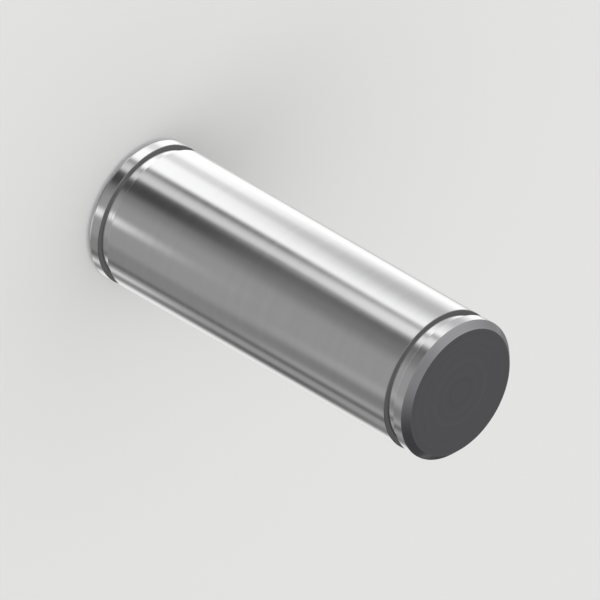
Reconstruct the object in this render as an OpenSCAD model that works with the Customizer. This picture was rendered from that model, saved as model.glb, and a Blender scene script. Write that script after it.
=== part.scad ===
// Grooved pin: a plain round steel pin, turned and ground from bar as one piece.
// Each rim is chamfered, and near each end a square groove takes a retaining ring,
// so the pin can't slide out of what it joins. The pin stands on its lower end
// face at z = 0, with its axis on +Z. All sizes are in millimetres.

/* [Pin] */
// Ground outer diameter, which runs in the bores of the parts it joins
pin_d = 12; // [8:0.5:25]
// Length over both end faces
pin_l = 35.3; // [20:0.1:120]

/* [Chamfers] */
// Radial size of the chamfer on each rim
chamfer = 0.55; // [0.2:0.05:0.9]
// Angle between the chamfer and the pin's axis
chamfer_angle = 45; // [30:1:50]

/* [Ring grooves] */
// Distance from each end face to the outer wall of its groove
shoulder_l = 1.4; // [1.3:0.1:4]
// Width of each groove between its two walls
groove_w = 1; // [0.6:0.05:2]
// Depth of each groove below the ground diameter
groove_depth = 0.5; // [0.3:0.05:1]
// Fillet between the floor of a groove and its walls
root_r = 0.08; // [0.04:0.01:0.15]
// Small 45 degree break on the two edges of a groove's mouth
edge_break = 0.04; // [0.02:0.01:0.1]

/* [Hidden] */

// Steps round a full turn
$fn = 180;
// How far a cut reaches past the surface it starts from
over = 0.5;
// Bright ground steel
steel = [0.66, 0.67, 0.69];

pin_r = pin_d / 2;
chamfer_l = chamfer / tan(chamfer_angle);
floor_r = pin_r - groove_depth;

// Half section of the blank: a round bar with both rims chamfered.
// X is the distance from the axis and Y the height along it.
module blank_section() {
    polygon([
        [0, 0],
        [pin_r - chamfer, 0],
        [pin_r, chamfer_l],
        [pin_r, pin_l - chamfer_l],
        [pin_r - chamfer, pin_l],
        [0, pin_l]
    ]);
}

// Half section of the mouth of a groove, wider at the surface by the edge breaks.
module mouth_section() {
    polygon([
        [pin_r - edge_break, 0],
        [pin_r + over, -edge_break - over],
        [pin_r + over, groove_w + edge_break + over],
        [pin_r - edge_break, groove_w]
    ]);
}

// Half section of the metal that a grooving tool with rounded corners takes out.
// The groove's lower wall is on Y = 0.
module groove_section() {
    mouth_section();
    translate([floor_r + root_r, 0])
        square([pin_r - floor_r - root_r, groove_w]);
    translate([floor_r, root_r])
        square([root_r + over, groove_w - 2 * root_r]);
    for (corner_y = [root_r, groove_w - root_r])
        translate([floor_r + root_r, corner_y])
            circle(r = root_r);
}

// The pin: the blank turned round its axis, with a groove cut near each end.
module pin() {
    color(steel)
        rotate_extrude()
            difference() {
                blank_section();
                translate([0, shoulder_l])
                    groove_section();
                translate([0, pin_l - shoulder_l - groove_w])
                    groove_section();
            }
}

pin();
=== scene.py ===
# %% [markdown]
# # A grooved pin in ground steel
#
# This lesson dresses a plain round steel pin, turned and ground from bar. It has a chamfer on each
# rim and a square groove near each end, where a retaining ring snaps in. The shape comes ready made
# and stays as it is. What is left to do is the finish, the light and the camera, and on a bright
# piece of metal the first two are one job: what we see on it is mostly its surroundings.

import math

import bpy
from mathutils import Matrix, Vector


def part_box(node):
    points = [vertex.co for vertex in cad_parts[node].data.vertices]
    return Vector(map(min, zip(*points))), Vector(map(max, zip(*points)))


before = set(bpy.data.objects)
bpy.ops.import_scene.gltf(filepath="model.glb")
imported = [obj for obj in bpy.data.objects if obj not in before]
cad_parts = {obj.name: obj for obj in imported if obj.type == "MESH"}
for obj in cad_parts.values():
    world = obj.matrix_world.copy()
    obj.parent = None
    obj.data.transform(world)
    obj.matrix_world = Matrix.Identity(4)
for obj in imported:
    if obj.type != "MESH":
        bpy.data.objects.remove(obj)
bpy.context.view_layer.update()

MM = 0.001

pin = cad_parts["pin"]
low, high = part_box("pin")
pin_length = (high.z - low.z) / MM
pin_radius = (high.x - low.x) / 2 / MM
pin_middle = (low + high) / 2
print(f"pin: {2 * pin_radius:.1f} mm across, {pin_length:.1f} mm long")

# %% [markdown]
# ## Measuring the rings
#
# The finish changes from one surface to the next, so we have to know where the chamfers and the
# grooves are. The numbers could be typed in, but then they would be wrong as soon as someone made
# a pin of another size. The mesh knows them already. Every ring of corners has a distance from the
# axis and a distance from the nearer end, and the smallest and largest of those are what we want.

# %% Measure the chamfer and the groove
EDGE_SLACK = 0.01


def ring_places():
    """The distance from the axis and from the nearer end of every corner of the pin, in mm."""
    places = []
    for corner in pin.data.vertices:
        x, y, z = corner.co / MM
        height = z - low.z / MM
        places.append((math.hypot(x, y), min(height, pin_length - height)))
    return places


rings = ring_places()
side_from = pin_radius - EDGE_SLACK
chamfer_height = min(height for radius, height in rings if radius > side_from)
face_radius = max(radius for radius, height in rings if height < EDGE_SLACK)
past_chamfer = chamfer_height + EDGE_SLACK
sunk = [ring for ring in rings if ring[0] < side_from and ring[1] > past_chamfer]
groove_radius = min(radius for radius, height in sunk)
groove_low = min(height for radius, height in sunk)
groove_high = max(height for radius, height in sunk)
print(f"chamfer: {chamfer_height:.2f} mm high, end face {2 * face_radius:.1f} mm across")
print(f"groove: {groove_low:.2f} to {groove_high:.2f} mm from the end")
print(f"groove floor: {2 * groove_radius:.1f} mm across")

# %% [markdown]
# ## Small helpers for node trees
#
# A finish in Blender is a graph of nodes. A few helpers keep the graphs short to write: they add a
# node, join a socket, do arithmetic, make a soft step and make a group with named sockets. An
# effect that is needed more than once becomes a group, which is built once and placed wherever it
# is needed with values of its own.

# %% Helpers that add and join nodes


def add_node(tree, kind, label="", **settings):
    """A new node of that kind, with its settings made and a label to read it by."""
    node = tree.nodes.new(kind)
    node.label = label
    for name, value in settings.items():
        setattr(node, name, value)
    return node


def feed(tree, socket, source):
    """Joins a socket to another node's output, or sets it to a plain number or vector."""
    if isinstance(source, bpy.types.NodeSocket):
        tree.links.new(source, socket)
    else:
        socket.default_value = source


def new_material(name):
    """A material with an empty node tree, and that tree."""
    material = bpy.data.materials.new(name)
    material.use_nodes = True
    material.node_tree.nodes.clear()
    return material, material.node_tree


print("helpers that add and join nodes are ready")

# %% Helpers that do arithmetic


def math_node(tree, operation, *terms, label=""):
    """The output of a Math node that works on the given sockets or numbers."""
    node = add_node(tree, "ShaderNodeMath", label, operation=operation)
    for socket, term in zip(node.inputs, terms):
        feed(tree, socket, term)
    return node.outputs[0]


def soft_step(tree, value, start, end, label=""):
    """0 up to start, 1 from end on, with a soft slope between. It falls if start is past end."""
    node = add_node(tree, "ShaderNodeMapRange", label, interpolation_type="SMOOTHSTEP")
    feed(tree, node.inputs["Value"], value)
    feed(tree, node.inputs["From Min"], start)
    feed(tree, node.inputs["From Max"], end)
    return node.outputs["Result"]


def blend_numbers(tree, share, first, second, label=""):
    """The first number where share is 0, the second where it is 1, and between them elsewhere."""
    node = add_node(tree, "ShaderNodeMix", label, data_type="FLOAT")
    feed(tree, node.inputs[0], share)
    feed(tree, node.inputs[2], first)
    feed(tree, node.inputs[3], second)
    return node.outputs[0]


def blend_colours(tree, share, first, second, label=""):
    """The first colour where share is 0, the second where it is 1, and between them elsewhere."""
    node = add_node(tree, "ShaderNodeMix", label, data_type="RGBA")
    feed(tree, node.inputs[0], share)
    feed(tree, node.inputs[6], first)
    feed(tree, node.inputs[7], second)
    return node.outputs[2]


def scale_vector(tree, vector, factor, label=""):
    """A vector or colour times a number."""
    node = add_node(tree, "ShaderNodeVectorMath", label, operation="SCALE")
    feed(tree, node.inputs[0], vector)
    feed(tree, node.inputs["Scale"], factor)
    return node.outputs[0]


print("helpers that do arithmetic are ready")

# %% Helpers that make and place groups


def new_group(name, inputs, outputs, output_kind="NodeSocketFloat"):
    """A node group. Inputs are name and default, a number or a vector. Outputs are of one kind."""
    tree = bpy.data.node_groups.new(name, "ShaderNodeTree")
    for socket_name, default in inputs.items():
        kind = "NodeSocketVector" if isinstance(default, tuple) else "NodeSocketFloat"
        socket = tree.interface.new_socket(socket_name, in_out="INPUT", socket_type=kind)
        socket.default_value = default
    for socket_name in outputs:
        tree.interface.new_socket(socket_name, in_out="OUTPUT", socket_type=output_kind)
    given = add_node(tree, "NodeGroupInput").outputs
    result = add_node(tree, "NodeGroupOutput").inputs
    return tree, given, result


def place_group(tree, group, label="", **values):
    """Places a group in a tree. A value's name is its socket's, with _ for each space."""
    node = add_node(tree, "ShaderNodeGroup", label, node_tree=group)
    for name, value in values.items():
        feed(tree, node.inputs[name.replace("_", " ")], value)
    return node.outputs


print("helpers that make and place groups are ready")

# %% [markdown]
# ## Which surface are we on?
#
# The side of such a pin is ground bright and smooth. The ends, the chamfers and the grooves stay as
# the lathe left them. Faces could be sorted into material slots for that, but then each edge is a
# hard line, and the mesh has to be touched. A turned part gives us a better way: two numbers say
# where any point of it is, the distance from the axis and the distance from the nearer end. This
# group works them out and turns them into soft masks, one for each kind of surface.

# %% The group that knows the surfaces
WALL_SLACK = 0.02
ROOT_SLACK = 0.005


def make_surface_group():
    """From a place in mm: the two distances, and masks of the ground side and of a groove."""
    outputs = ["From Axis", "From End", "Ground Side", "Groove Wall", "Groove Floor"]
    tree, given, result = new_group("Pin Surfaces", {"Place": (0.0, 0.0, 0.0)}, outputs)
    axes = add_node(tree, "ShaderNodeSeparateXYZ")
    feed(tree, axes.inputs[0], given["Place"])
    x_squared = math_node(tree, "MULTIPLY", axes.outputs["X"], axes.outputs["X"])
    across_squared = math_node(tree, "MULTIPLY_ADD", axes.outputs["Y"], axes.outputs["Y"], x_squared)
    from_axis = math_node(tree, "SQRT", across_squared)
    from_top = math_node(tree, "SUBTRACT", pin_length, axes.outputs["Z"])
    from_end = math_node(tree, "MINIMUM", axes.outputs["Z"], from_top)

    ground_from = pin_radius - 2 * WALL_SLACK
    ground = soft_step(tree, from_axis, ground_from, ground_from + WALL_SLACK, "out on the side")
    middle_of_land = (chamfer_height + groove_low) / 2
    past_chamfer = math_node(tree, "GREATER_THAN", from_end, middle_of_land)
    sunk_in = math_node(tree, "SUBTRACT", 1.0, ground)
    groove = math_node(tree, "MULTIPLY", past_chamfer, sunk_in, label="down in a groove")
    root_from = groove_radius + ROOT_SLACK
    deep = soft_step(tree, from_axis, root_from + ROOT_SLACK, root_from, "on a groove's floor")
    floor = math_node(tree, "MULTIPLY", groove, deep)
    wall = math_node(tree, "SUBTRACT", groove, floor)

    feed(tree, result["From Axis"], from_axis)
    feed(tree, result["From End"], from_end)
    feed(tree, result["Ground Side"], ground)
    feed(tree, result["Groove Wall"], wall)
    feed(tree, result["Groove Floor"], floor)
    return tree


surface_group = make_surface_group()
print("surface group:", len(surface_group.nodes), "nodes")

# %% [markdown]
# ## Rounder than its mesh
#
# A turned side is truly round, but its mesh is a ring of narrow flats. Smooth shading hides them,
# except where the ring closes: there the two last flats were shaded each on its own, and a mirror
# finish shows the tilt of two degrees as a hard line from end to end. Rebuilding the mesh is out of
# the question, so the material helps. Seen along the axis, every turned surface faces straight
# away from it. This group keeps how far the mesh's normal leans up or down and points the rest
# of it straight out from the axis.

# %% The group that makes the turned normal


def drop_height(tree, vector, label):
    """The vector with its Z set to nothing."""
    node = add_node(tree, "ShaderNodeVectorMath", label, operation="MULTIPLY")
    feed(tree, node.inputs[0], vector)
    node.inputs[1].default_value = (1.0, 1.0, 0.0)
    return node.outputs[0]


def make_normal_group():
    """From a place and the mesh's normal there: the normal that a turned surface would have."""
    inputs = {"Place": (1.0, 0.0, 0.0), "Mesh Normal": (0.0, 0.0, 1.0)}
    tree, given, result = new_group("Turned Normal", inputs, ["Normal"], "NodeSocketVector")
    level_place = drop_height(tree, given["Place"], "place, seen along the axis")
    outward = add_node(tree, "ShaderNodeVectorMath", "straight out", operation="NORMALIZE")
    feed(tree, outward.inputs[0], level_place)
    level_normal = drop_height(tree, given["Mesh Normal"], "level part of the normal")
    reach = add_node(tree, "ShaderNodeVectorMath", "its length", operation="LENGTH")
    feed(tree, reach.inputs[0], level_normal)
    level = scale_vector(tree, outward.outputs[0], reach.outputs["Value"], "turned straight out")
    upright = add_node(tree, "ShaderNodeVectorMath", "upright part", operation="SUBTRACT")
    feed(tree, upright.inputs[0], given["Mesh Normal"])
    feed(tree, upright.inputs[1], level_normal)
    whole = add_node(tree, "ShaderNodeVectorMath", "both parts", operation="ADD")
    feed(tree, whole.inputs[0], level)
    feed(tree, whole.inputs[1], upright.outputs[0])
    feed(tree, result["Normal"], whole.outputs[0])
    return tree


normal_group = make_normal_group()
print("turned normal:", len(normal_group.nodes), "nodes")

# %% [markdown]
# ## Marks that tools leave
#
# A grinding wheel leaves short fine scratches that run round the pin, each a little different. A
# lathe tool leaves one long even spiral, which looks like rings. Both are lines that run round the
# axis, so one group can make both. It is a noise that changes fast across the lines and slowly
# along them, mixed with an even wave. Short runs and no wave give grinding, and long runs with a
# strong wave give turning.
#
# The marks could be cut in the mesh, but real ones are a few thousandths of a millimetre deep. A
# bump that tilts the reflections is all the eye gets from them.

# %% The group that draws tool marks
LINE_SCALE = 1.0
LINE_DETAIL = 2.0
BAND_SCALE = 0.3


def make_marks_group():
    """Lines round the axis: their height from 0 to 1, and a softer tone of the same lines."""
    inputs = {
        "Place": (0.0, 0.0, 0.0),
        "Across": 0.0,
        "Spacing": 0.15,
        "Run": 5.0,
        "Evenness": 0.0,
    }
    tree, given, result = new_group("Tool Marks", inputs, ["Height", "Tone"])
    axes = add_node(tree, "ShaderNodeSeparateXYZ")
    feed(tree, axes.inputs[0], given["Place"])
    stretched = add_node(tree, "ShaderNodeCombineXYZ", "long round the axis, short across")
    feed(tree, stretched.inputs["X"], math_node(tree, "DIVIDE", axes.outputs["X"], given["Run"]))
    feed(tree, stretched.inputs["Y"], math_node(tree, "DIVIDE", axes.outputs["Y"], given["Run"]))
    lines = math_node(tree, "DIVIDE", given["Across"], given["Spacing"])
    feed(tree, stretched.inputs["Z"], lines)

    uneven = add_node(tree, "ShaderNodeTexNoise", "uneven lines", noise_dimensions="3D")
    feed(tree, uneven.inputs["Vector"], stretched.outputs[0])
    uneven.inputs["Scale"].default_value = LINE_SCALE
    uneven.inputs["Detail"].default_value = LINE_DETAIL
    turns = math_node(tree, "MULTIPLY", lines, math.tau)
    wave = math_node(tree, "MULTIPLY_ADD", math_node(tree, "SINE", turns), 0.5, 0.5, label="even lines")
    height = blend_numbers(tree, given["Evenness"], uneven.outputs[0], wave)
    feed(tree, result["Height"], height)

    broad = add_node(tree, "ShaderNodeTexNoise", "broader bands", noise_dimensions="3D")
    feed(tree, broad.inputs["Vector"], stretched.outputs[0])
    broad.inputs["Scale"].default_value = BAND_SCALE
    feed(tree, result["Tone"], broad.outputs[0])
    return tree


marks_group = make_marks_group()
print("tool marks group:", len(marks_group.nodes), "nodes")

# %% [markdown]
# ## Rubbed edges with a painted highlight, and painted shade in corners
#
# Where two surfaces meet in an edge, handling rubs it bright, and its colour is also made lighter as
# a painted highlight. Where they meet in a corner, as at the foot of a groove's wall, its colour is
# made dark as painted shade. A pointiness value could find both, but it depends on how finely the
# mesh is cut. On a turned part an edge or a corner is a ring at one distance from the axis and one
# from the end, so a mask that falls off with the distance from that ring is exact. The group is
# placed once for each ring.

# %% The group that finds one ring


def make_ring_group():
    """1 on one ring, falling to 0 at the reach from it."""
    inputs = {
        "From Axis": 0.0,
        "From End": 0.0,
        "Ring From Axis": 6.0,
        "Ring From End": 0.0,
        "Reach": 0.1,
    }
    tree, given, result = new_group("Ring Mask", inputs, ["Mask"])
    outward = math_node(tree, "SUBTRACT", given["From Axis"], given["Ring From Axis"])
    endward = math_node(tree, "SUBTRACT", given["From End"], given["Ring From End"])
    endward_squared = math_node(tree, "MULTIPLY", endward, endward)
    squared = math_node(tree, "MULTIPLY_ADD", outward, outward, endward_squared)
    distance = math_node(tree, "SQRT", squared)
    feed(tree, result["Mask"], soft_step(tree, distance, given["Reach"], 0.0))
    return tree


ring_group = make_ring_group()
print("ring group:", len(ring_group.nodes), "nodes")

# %% [markdown]
# ## The steel
#
# Bare steel is a metal, so its colour is in its reflections and everything else is roughness. The
# values are simple: a light and almost neutral grey, with a low roughness on the ground side and a
# little more on the turned ends and chamfers. In a groove, the sides of the tool rub the walls and
# leave them dull, while its nose cuts the floor clean. The corners between them are painted dark
# as shade.
# A faint cloud over the whole pin keeps the gloss from being the same everywhere, as handling does
# on a real one.
#
# The Principled shader stays in the material, and only masks and colours come to it from the
# groups. Metallic is the same all over, so it is set on the shader's own socket.

# %% Colours and roughness of the steel
BRIGHT_STEEL = (0.70, 0.70, 0.707, 1.0)
TURNED_STEEL = (0.695, 0.695, 0.735, 1.0)
WALL_STEEL = (0.72, 0.72, 0.73, 1.0)
FLOOR_STEEL = (0.74, 0.74, 0.75, 1.0)
# painted shade: the dark colour that a groove's corners are given
CORNER_PAINTED_SHADE = (0.30, 0.30, 0.31, 1.0)

GROUND_ROUGHNESS = 0.15
TURNED_ROUGHNESS = 0.19
WALL_ROUGHNESS = 0.35
FLOOR_ROUGHNESS = 0.17
print("roughness: ground", GROUND_ROUGHNESS, "turned", TURNED_ROUGHNESS, "walls", WALL_ROUGHNESS)

# %% [markdown]
# ### Marks on each surface
#
# The grinding lines run round the side, so they are spaced along the pin. The turning lines have
# to be spaced outwards on an end face or a groove's wall, and along the pin on a groove's floor.
# The sum of the two distances does both, because one of the two stands still there. On a chamfer
# both grow. Grinding is shallower than turning, so only a share of its height is taken.

# %% Lay the tool marks
GROUND_MARKS = {"Spacing": 0.16, "Run": 4.0, "Evenness": 0.0}
TURNED_MARKS = {"Spacing": 0.24, "Run": 60.0, "Evenness": 0.45}
GROUND_SHARE = 0.45


def lay_marks(tree, place, surface):
    """Grinding on the side and turning elsewhere: the height, and a tone from -0.5 to 0.5."""
    axes = add_node(tree, "ShaderNodeSeparateXYZ")
    feed(tree, axes.inputs[0], place)
    along = axes.outputs["Z"]
    outward = math_node(tree, "ADD", surface["From Axis"], surface["From End"])
    ground = place_group(tree, marks_group, "grinding", Place=place, Across=along, **GROUND_MARKS)
    turned = place_group(tree, marks_group, "turning", Place=place, Across=outward, **TURNED_MARKS)
    side = surface["Ground Side"]
    shallow = math_node(tree, "MULTIPLY", ground["Height"], GROUND_SHARE)
    height = blend_numbers(tree, side, turned["Height"], shallow)
    tone = blend_numbers(tree, side, turned["Tone"], ground["Tone"])
    swing = math_node(tree, "SUBTRACT", tone, 0.5, label="marks from -0.5 to 0.5")
    return height, swing


print("grinding lines every", GROUND_MARKS["Spacing"], "mm, turning every", TURNED_MARKS["Spacing"])

# %% [markdown]
# ### The rings to treat
#
# Each end of the pin has four edges that hands and bores rub and that also get a painted highlight,
# and each groove has two corners that are given painted shade. Their places come from the rings
# that were measured at the start.

# %% Name the edges and the corners
# rubbed edges, which are also given a painted highlight
EDGES = {
    "end face to chamfer": (face_radius, 0.0),
    "chamfer to side": (pin_radius, chamfer_height),
    "outer edge of a groove": (pin_radius, groove_low),
    "inner edge of a groove": (pin_radius, groove_high),
}
# painted shade: the two corners at the foot of each groove's walls are darkened
SHADED_CORNERS = {
    "outer corner of a groove": (groove_radius, groove_low),
    "inner corner of a groove": (groove_radius, groove_high),
}


def mask_of_rings(tree, surface, rings, reach):
    """A mask that is 1 on every one of the rings."""
    mask = 0.0
    for label, (ring_from_axis, ring_from_end) in rings.items():
        ring = place_group(
            tree,
            ring_group,
            label,
            From_Axis=surface["From Axis"],
            From_End=surface["From End"],
            Ring_From_Axis=ring_from_axis,
            Ring_From_End=ring_from_end,
            Reach=reach,
        )
        mask = math_node(tree, "MAXIMUM", mask, ring["Mask"])
    return mask


print(len(EDGES), "edges and", len(SHADED_CORNERS), "corners at each end")

# %% [markdown]
# ### Colour
#
# The masks choose between four steels that hardly differ. Then the corners are painted dark as
# shade, and the marks and the rubbed edges, which also carry a painted highlight, make the colour a
# little lighter or darker. They multiply it, so they can't change its hue.

# %% Colour the steel
GROUND_TONE = 0.06
TURNED_TONE = 0.25
EDGE_REACH = 0.09
# how much lighter the edge rings are made: rubbing, and partly a painted highlight
EDGE_RUB_AND_HIGHLIGHT = 0.05
# painted shade: how far the dark colour reaches from a groove's corner, in mm
CORNER_SHADE_REACH = 0.16


def steel_colour(tree, surface, marks_swing):
    """The colour of each surface, with painted shade in its corners, its marks, and rubbed edges with a
    painted highlight.
    """
    side = surface["Ground Side"]
    bare = blend_colours(tree, side, TURNED_STEEL, BRIGHT_STEEL)
    walled = blend_colours(tree, surface["Groove Wall"], bare, WALL_STEEL)
    floored = blend_colours(tree, surface["Groove Floor"], walled, FLOOR_STEEL)
    # painted shade: the groove's corners are made dark
    corner = mask_of_rings(tree, surface, SHADED_CORNERS, CORNER_SHADE_REACH)
    colour = blend_colours(tree, corner, floored, CORNER_PAINTED_SHADE)
    marks_tone = blend_numbers(tree, side, TURNED_TONE, GROUND_TONE)
    marked = math_node(tree, "MULTIPLY_ADD", marks_swing, marks_tone, 1.0)
    # painted highlight and rubbing: the edge rings are made lighter
    edge = mask_of_rings(tree, surface, EDGES, EDGE_REACH)
    lit = math_node(tree, "MULTIPLY_ADD", edge, EDGE_RUB_AND_HIGHLIGHT, marked)
    return scale_vector(tree, colour, lit, "colour with marks")


# the brighter edges are rubbing, and partly a painted highlight
print(f"rubbed edges are {EDGE_RUB_AND_HIGHLIGHT:.0%} brighter, {EDGE_REACH} mm to each side")

# %% [markdown]
# ### Gloss
#
# A mirror with one roughness all over looks like a drawing. Here the same masks choose the
# roughness, the marks change it a little, and a cloud several millimetres wide does so again.

# %% Roughen the steel
MARKS_ROUGHNESS = 0.04
CLOUD_SIZE = 7.0
CLOUD_DETAIL = 3.0
CLOUD_ROUGHNESS = 0.03


def steel_roughness(tree, place, surface, marks_swing):
    """The roughness of each surface, uneven with the marks and with a cloud of handling."""
    cloud = add_node(tree, "ShaderNodeTexNoise", "cloud of handling", noise_dimensions="3D")
    feed(tree, cloud.inputs["Vector"], place)
    cloud.inputs["Scale"].default_value = 1 / CLOUD_SIZE
    cloud.inputs["Detail"].default_value = CLOUD_DETAIL
    cloud_swing = math_node(tree, "SUBTRACT", cloud.outputs[0], 0.5, label="cloud from -0.5 to 0.5")
    smooth = blend_numbers(tree, surface["Ground Side"], TURNED_ROUGHNESS, GROUND_ROUGHNESS)
    rubbed = blend_numbers(tree, surface["Groove Wall"], smooth, WALL_ROUGHNESS)
    scraped = blend_numbers(tree, surface["Groove Floor"], rubbed, FLOOR_ROUGHNESS)
    clouded = math_node(tree, "MULTIPLY_ADD", cloud_swing, CLOUD_ROUGHNESS, scraped)
    return math_node(tree, "MULTIPLY_ADD", marks_swing, MARKS_ROUGHNESS, clouded)


print("the cloud is about", CLOUD_SIZE, "mm wide")

# %% [markdown]
# ### Which way it faces
#
# The turned normal is worked out in the pin's own axes, and a Bump node wants one in the world's,
# so it is turned round in between. The marks are two thousandths of a millimetre deep.

# %% Tilt the steel
MARKS_DEPTH = 0.002 * MM


def steel_normal(tree, place, mesh_normal, marks_height):
    """The normal of a turned surface, tilted by its tool marks."""
    turned_normal = place_group(
        tree, normal_group, "turned normal", Place=place, Mesh_Normal=mesh_normal
    )
    in_world = add_node(
        tree,
        "ShaderNodeVectorTransform",
        "in the world's axes",
        vector_type="NORMAL",
        convert_from="OBJECT",
        convert_to="WORLD",
    )
    feed(tree, in_world.inputs[0], turned_normal["Normal"])
    bump = add_node(tree, "ShaderNodeBump", "tool marks")
    feed(tree, bump.inputs["Normal"], in_world.outputs[0])
    bump.inputs["Distance"].default_value = MARKS_DEPTH
    feed(tree, bump.inputs["Height"], marks_height)
    return bump.outputs["Normal"]


print("the marks are", MARKS_DEPTH / MM, "mm deep")

# %% [markdown]
# ### Putting the steel together
#
# The parts meet in one material, and it takes the place of whatever the pin wore before.

# %% Build the steel


def make_steel():
    """Ground steel on the side, and turned steel on the ends, the chamfers and in the grooves."""
    material, tree = new_material("ground_steel")
    own_axes = add_node(tree, "ShaderNodeTexCoord", "in the pin's own axes")
    place = scale_vector(tree, own_axes.outputs["Object"], 1 / MM, "place in mm")
    surface = place_group(tree, surface_group, "surfaces", Place=place)
    marks_height, marks_swing = lay_marks(tree, place, surface)

    shader = add_node(tree, "ShaderNodeBsdfPrincipled")
    shader.inputs["Metallic"].default_value = 1.0
    feed(tree, shader.inputs["Base Color"], steel_colour(tree, surface, marks_swing))
    feed(tree, shader.inputs["Roughness"], steel_roughness(tree, place, surface, marks_swing))
    normal = steel_normal(tree, place, own_axes.outputs["Normal"], marks_height)
    feed(tree, shader.inputs["Normal"], normal)

    output = add_node(tree, "ShaderNodeOutputMaterial")
    feed(tree, output.inputs["Surface"], shader.outputs[0])
    return material


steel = make_steel()
pin.data.materials.clear()
pin.data.materials.append(steel)
print("steel:", len(steel.node_tree.nodes), "nodes")

# %% [markdown]
# ## A groove that reads as one line
#
# A groove's wall and its floor are two mirrors in a corner, so the wall shows once more in the
# floor. In a groove half a millimetre deep, that second image makes the dark line look twice as
# wide as the wall is. A rougher floor would blur it, but would lose the streaks that run across the
# floor as well. So here the real thing is simplified: mirror rays don't see the pin, and every
# surface shows only the tent. Outside the grooves this changes nothing, because the rest of the
# pin bulges outwards and has no view of itself.

# %% Leave the pin out of its own reflections
pin.visible_glossy = False
print("mirror rays see the pin:", pin.visible_glossy)

# %% [markdown]
# ## The light tent
#
# A bright pin on a pale table turns flat white, because its side mirrors nothing but the table.
# The cure in a studio is a light tent: the piece stands in the middle, and strips of white, grey
# and black card on the cloth give the metal something to show. Each card runs down the tent, so the
# round side draws it out into a streak along the pin.
#
# The tent here is a sphere round the pin that only mirror rays can see, so the camera looks past it
# and it lights nothing else. Its cards could be separate meshes, but a card is only a patch between
# two azimuths and two elevations with soft edges. So one group draws one card over the tone that is
# there already, and a list of cards becomes a chain of groups. The cloth itself has a trace less
# blue in it, which balances the trace of blue in the steel.

# %% The group that hangs one card
RISING = 1.0
FALLING = -1.0


def soft_edge(tree, value, middle, width, way, label):
    """A soft step as wide as given, centred on the middle, that goes up or down."""
    reach = math_node(tree, "MULTIPLY", width, way / 2)
    start = math_node(tree, "SUBTRACT", middle, reach)
    end = math_node(tree, "ADD", middle, reach)
    return soft_step(tree, value, start, end, label)


def make_card_group():
    """Lays one card with soft edges over the tone beneath it. All angles are in degrees."""
    inputs = {
        "Tone Beneath": 0.4,
        "Azimuth": 0.0,
        "Elevation": 0.0,
        "Centre": 0.0,
        "Width": 20.0,
        "Edge": 8.0,
        "Bottom": -90.0,
        "Top": 90.0,
        "Fade": 8.0,
        "Tone": 1.0,
    }
    tree, given, result = new_group("Tent Card", inputs, ["Tone"])
    turn = math_node(tree, "SUBTRACT", given["Azimuth"], given["Centre"])
    shortest = math_node(tree, "WRAP", turn, 180.0, -180.0, label="shortest way round")
    aside = math_node(tree, "ABSOLUTE", shortest)
    half = math_node(tree, "MULTIPLY", given["Width"], 0.5)
    height = given["Elevation"]
    fade = given["Fade"]
    across = soft_edge(tree, aside, half, given["Edge"], FALLING, "between the card's sides")
    above = soft_edge(tree, height, given["Bottom"], fade, RISING, "above the card's bottom")
    below = soft_edge(tree, height, given["Top"], fade, FALLING, "below the card's top")
    upright = math_node(tree, "MULTIPLY", above, below)
    cover = math_node(tree, "MULTIPLY", across, upright, label="how much card is here")
    tone = blend_numbers(tree, cover, given["Tone Beneath"], given["Tone"])
    feed(tree, result["Tone"], tone)
    return tree


card_group = make_card_group()
print("card group:", len(card_group.nodes), "nodes")

# %% [markdown]
# ## Where the cards hang
#
# Azimuth is measured round the tent from straight in front of the pin. It is positive on the side
# that the pin's upper right flank mirrors. Elevation is measured from the tent's middle. The round
# side, seen from above, mirrors the lower half of the tent, and the flat end mirrors the upper
# half, behind the pin. So the cards that make the streaks hang low, some of them only near the
# bottom or only near the middle, because a streak on the pin rarely keeps its strength from end to
# end. The upper half is darker and leaves the end face and the groove walls a quiet dark grey.
#
# A card lies over the ones before it in the list. Its edge is how wide its soft sides are, and its
# fade how soft its bottom and top. Most of them reach from under the pin to a little above the
# tent's middle, so a card in the list gives its bottom, top or fade only where it has another one.
#
# The steel gives back about seven tenths of the light that falls on it, so a tone of 1.4 is what it
# takes to come out white. To change a streak, work as in a studio: move its card, look at the
# streak it makes, and move it again.

# %% The list of cards
TENT_TONE = 0.39
LOWEST = -120.0
HORIZON = 5.0
CROWN = 70.0
ZENITH = 90.0
ALL_ROUND = 400.0

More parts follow.
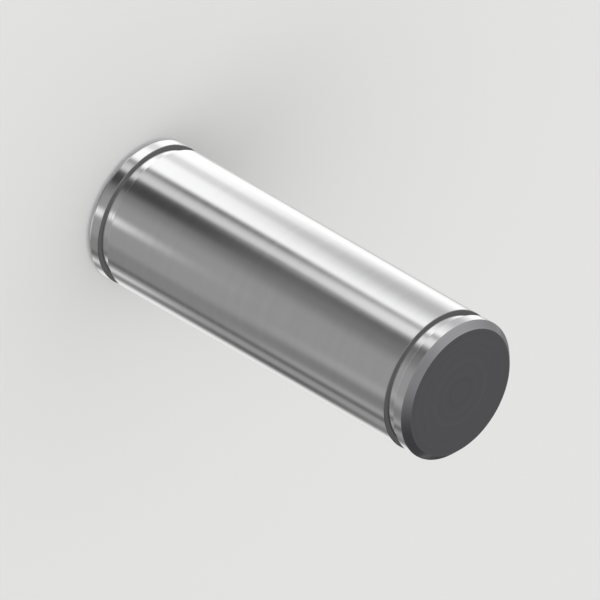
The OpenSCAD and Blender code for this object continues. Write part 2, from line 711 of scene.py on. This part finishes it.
PLAIN_CARD = dict(Bottom=LOWEST, Top=HORIZON, Fade=12)
CARDS = [
    # Low cards on the right: a wide bright panel, two soft folds in it, and a soft card behind
    dict(Centre=106, Width=97, Edge=8, Tone=1.4),
    dict(Centre=98, Width=18, Edge=12, Tone=1.0),
    dict(Centre=96, Width=44, Edge=40, Bottom=-35, Fade=14, Tone=0.65),
    dict(Centre=180, Width=50, Edge=50, Tone=0.75),
    # A bright strip, the slit beside the panel, the dark cards in front, and two strips over them
    dict(Centre=35, Width=28, Edge=18, Tone=0.86),
    dict(Centre=55, Width=8, Edge=8, Bottom=-41, Top=-32, Fade=8, Tone=0.15),
    dict(Centre=22, Width=24, Edge=8, Tone=0.15),
    dict(Centre=8, Width=22, Edge=24, Tone=0.24),
    dict(Centre=21, Width=21, Edge=14, Top=-35, Fade=6, Tone=0.07),
    dict(Centre=32, Width=8, Edge=6, Bottom=-35, Fade=6, Tone=0.3),
    dict(Centre=41, Width=15, Edge=8, Bottom=-30, Fade=6, Tone=1.05),
    # Low cards on the left: light and dark strips on the mid grey cloth
    dict(Centre=-35, Width=11, Edge=9, Top=-41, Fade=8, Tone=1.8),
    dict(Centre=-58, Width=12, Edge=12, Bottom=-31, Fade=6, Tone=0.47),
    dict(Centre=-88, Width=30, Edge=10, Tone=0.3),
    dict(Centre=-76, Width=16, Edge=12, Bottom=-33, Fade=8, Tone=0.26),
    dict(Centre=-94, Width=10, Edge=8, Bottom=-33, Fade=6, Tone=0.45),
    dict(Centre=-105, Width=10, Edge=6, Tone=0.15),
    dict(Centre=-115, Width=12, Edge=8, Tone=0.4),
    dict(Centre=-120, Width=9, Edge=8, Top=-39, Fade=5, Tone=0.95),
    dict(Centre=-134, Width=13, Edge=8, Tone=0.3),
    dict(Centre=-129, Width=12, Edge=8, Bottom=-38, Top=-28, Fade=10, Tone=0.12),
    dict(Centre=-154, Width=24, Edge=14, Tone=0.98),
    # Dark screens behind, above the low cards, which the chamfer's lower rim mirrors
    dict(Centre=180, Width=90, Edge=16, Bottom=-19, Fade=8, Tone=0.24),
    dict(Centre=-150, Width=64, Edge=16, Bottom=-19, Fade=8, Tone=0.07),
    # The upper cloth, which the end face, the chamfer and the groove walls mirror
    dict(Centre=0, Width=ALL_ROUND, Bottom=HORIZON, Top=ZENITH, Tone=0.30),
    dict(Centre=80, Width=80, Edge=60, Bottom=HORIZON, Top=CROWN, Tone=0.44),
    dict(Centre=-125, Width=120, Edge=90, Bottom=HORIZON, Top=CROWN, Tone=0.065),
    dict(Centre=180, Width=60, Edge=30, Bottom=25, Top=55, Tone=0.11),
    # The dark cloth behind the pin's foot, and the plain grey one right under it
    dict(Centre=180, Width=120, Edge=60, Top=-59, Fade=10, Tone=0.15),
    dict(Centre=0, Width=ALL_ROUND, Top=-74, Fade=14, Tone=0.25),
]
print(len(CARDS), "cards in the tent")

# %% [markdown]
# ## Hanging the tent
#
# The cloth is one glowing material on the sphere. Its azimuth and elevation come from the sphere's
# own axes, so the cards stay where they hang when the camera goes round the pin.

# %% Build the tent
TENT_RADIUS = 100 * MM
TENT_SEGMENTS = 96
TENT_RINGS = 48
TENT_TINT = (1.0, 1.0, 0.992)


def sphere_round_the_pin():
    """A sphere that only mirror rays see."""
    bpy.ops.mesh.primitive_uv_sphere_add(
        radius=TENT_RADIUS, segments=TENT_SEGMENTS, ring_count=TENT_RINGS, location=pin_middle
    )
    sphere = bpy.context.object
    sphere.name = "light_tent"
    sphere.visible_camera = False
    sphere.visible_diffuse = False
    sphere.visible_transmission = False
    sphere.visible_volume_scatter = False
    sphere.visible_shadow = False
    return sphere


def make_tent_cloth():
    """A glowing cloth, toned by the list of cards."""
    material, tree = new_material("tent_cloth")
    material.cycles.emission_sampling = "NONE"
    place = add_node(tree, "ShaderNodeTexCoord").outputs["Object"]
    axes = add_node(tree, "ShaderNodeSeparateXYZ")
    feed(tree, axes.inputs[0], place)
    towards_right = math_node(tree, "MULTIPLY", axes.outputs["X"], -1.0)
    towards_front = math_node(tree, "MULTIPLY", axes.outputs["Y"], -1.0)
    round_tent = math_node(tree, "ARCTAN2", towards_right, towards_front)
    azimuth = math_node(tree, "DEGREES", round_tent, label="azimuth")
    height = math_node(tree, "DIVIDE", axes.outputs["Z"], TENT_RADIUS)
    elevation = math_node(tree, "DEGREES", math_node(tree, "ARCSINE", height), label="elevation")

    tone = TENT_TONE
    for card in CARDS:
        placed = {**PLAIN_CARD, **card}
        layer = place_group(
            tree, card_group, Azimuth=azimuth, Elevation=elevation, Tone_Beneath=tone, **placed
        )
        tone = layer["Tone"]

    glow = add_node(tree, "ShaderNodeEmission")
    feed(tree, glow.inputs["Color"], scale_vector(tree, TENT_TINT, tone, "tinted tone"))
    output = add_node(tree, "ShaderNodeOutputMaterial")
    feed(tree, output.inputs["Surface"], glow.outputs[0])
    return material


tent = sphere_round_the_pin()
tent.data.materials.append(make_tent_cloth())
print("tent radius:", round(TENT_RADIUS / MM), "mm")

# %% [markdown]
# ## The bench top
#
# The pin stands on its lower end face on a plain pale bench top. It could be any flat surface, and
# a matt paint is best, because a gloss would bring in reflections that have nothing to do with the
# pin. The tent replaces the bench in the metal's reflections, so mirror rays don't see the bench.
#
# Two faces in one plane show through each other in patches. So the bench lies a hundredth of a
# millimetre below the pin's end face, which is too little to see.

# %% Bench top
BENCH_SIZE = 4.0
BENCH_COLOUR = (0.82, 0.82, 0.81, 1.0)
BENCH_ROUGHNESS = 0.9
BENCH_GAP = 0.01 * MM


def make_paint(name, colour, roughness):
    """A plain matt paint."""
    material, tree = new_material(name)
    shader = add_node(tree, "ShaderNodeBsdfPrincipled")
    shader.inputs["Base Color"].default_value = colour
    shader.inputs["Roughness"].default_value = roughness
    output = add_node(tree, "ShaderNodeOutputMaterial")
    feed(tree, output.inputs["Surface"], shader.outputs[0])
    return material


bpy.ops.mesh.primitive_plane_add(size=BENCH_SIZE, location=(0, 0, low.z - BENCH_GAP))
bench = bpy.context.object
bench.name = "bench_top"
bench.visible_glossy = False
bench.data.materials.append(make_paint("bench_paint", BENCH_COLOUR, BENCH_ROUGHNESS))
print("bench top:", BENCH_SIZE, "m square")

# %% [markdown]
# ## The room and the soft lamp
#
# The bench gets its light from a plain white room and from one wide lamp, which is there to give
# the pin a soft shadow to stand in. Together they add up to about one, and at that level a colour
# comes out as it is written. The tent alone decides what the metal mirrors, so mirror rays don't
# see the lamp.

# %% Room and lamp
ROOM_STRENGTH = 0.74
LAMP_SHARE = 0.22
LAMP_SPREAD = math.radians(50)
LAMP_FROM = Vector((0.5, -0.9, 1.6))


def light_the_room():
    """Plain white light from all round."""
    world = bpy.data.worlds.new("studio")
    bpy.context.scene.world = world
    world.use_nodes = True
    background = world.node_tree.nodes["Background"]
    background.inputs["Color"].default_value = (1.0, 1.0, 1.0, 1.0)
    background.inputs["Strength"].default_value = ROOM_STRENGTH


def hang_the_lamp():
    """A wide far lamp. Its strength is set by the share of light that it adds to a flat bench."""
    lamp_data = bpy.data.lights.new("soft_lamp", "SUN")
    lamp_data.angle = LAMP_SPREAD
    steepness = LAMP_FROM.normalized().z
    lamp_data.energy = LAMP_SHARE * math.pi / steepness
    lamp = bpy.data.objects.new("soft_lamp", lamp_data)
    lamp.rotation_euler = LAMP_FROM.to_track_quat("Z", "Y").to_euler()
    lamp.visible_glossy = False
    bpy.context.scene.collection.objects.link(lamp)


light_the_room()
hang_the_lamp()
print(f"light on the bench: {ROOM_STRENGTH + LAMP_SHARE:.2f}")

# %% [markdown]
# ## The camera
#
# The pin is seen as in an isometric drawing: without perspective, from a direction that leans as
# much towards each of the three axes, which is an elevation of about 35 degrees. The camera is
# then rolled about its own line of sight, so that the pin lies across the frame from the upper left
# to the lower right with its end face towards us. A camera's axes are its right, its top and its
# back, so we build those three vectors and make the matrix from them.

# %% Camera
VIEW_ELEVATION = math.asin(1 / math.sqrt(3))
ROLL = math.radians(30)
FRAME_WIDTH = 46.72 * MM
CAMERA_DISTANCE = 150 * MM
NEAREST = 1 * MM
FARTHEST = 10.0


def camera_pose():
    """The matrix of a camera that looks down at the middle of the pin, rolled to one side."""
    front = Vector((0, -1, 0))
    up = Vector((0, 0, 1))
    back = front * math.cos(VIEW_ELEVATION) + up * math.sin(VIEW_ELEVATION)
    along = up * math.cos(VIEW_ELEVATION) - front * math.sin(VIEW_ELEVATION)
    aside = back.cross(along)
    right = along * math.cos(ROLL) + aside * math.sin(ROLL)
    top = aside * math.cos(ROLL) - along * math.sin(ROLL)
    pose = Matrix((right, top, back)).transposed().to_4x4()
    pose.translation = pin_middle + back * CAMERA_DISTANCE
    return pose


camera_data = bpy.data.cameras.new("camera")
camera_data.type = "ORTHO"
camera_data.ortho_scale = FRAME_WIDTH
camera_data.clip_start = NEAREST
camera_data.clip_end = FARTHEST
camera = bpy.data.objects.new("camera", camera_data)
bpy.context.scene.collection.objects.link(camera)
camera.matrix_world = camera_pose()
bpy.context.scene.camera = camera
print(f"the frame is {FRAME_WIDTH / MM:.2f} mm wide")

# %% [markdown]
# ## Finish
#
# The Standard view transform shows colours as they are written.

# %% Finish
bpy.context.scene.view_settings.view_transform = "Standard"
